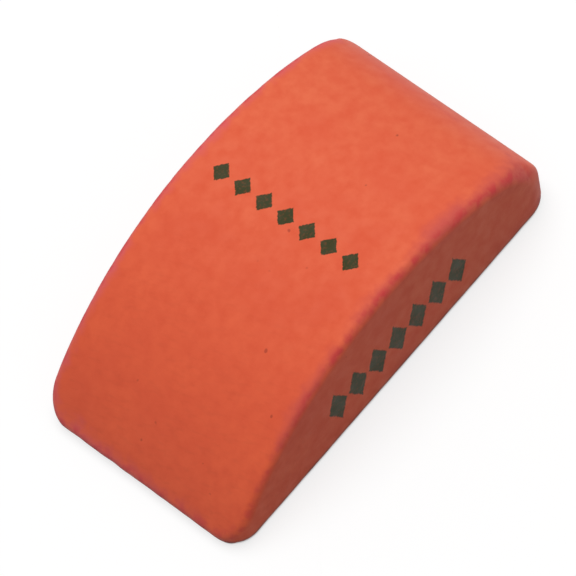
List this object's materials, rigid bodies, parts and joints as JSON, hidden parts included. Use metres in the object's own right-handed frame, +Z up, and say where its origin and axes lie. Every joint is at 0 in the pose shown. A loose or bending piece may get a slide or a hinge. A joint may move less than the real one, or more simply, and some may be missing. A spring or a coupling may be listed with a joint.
{
  "type": "eraser",
  "caption": "Wedge-shaped rubber eraser with a flat base, an arched crown, a thin nose and a round thick end, for rubbing out pencil.",
  "frame": {"origin": "centre of the flat base, on the surface it rests on", "axes": "+X along the length towards the thick end, +Y across the width, +Z up through the crest"},
  "size_m": [0.05, 0.0268, 0.0147],
  "materials": {
    "rubber": "matte moulded orange rubber"
  },
  "bodies": {
    "root": {"eraser": "rubber"}
  },
  "joints": []
}
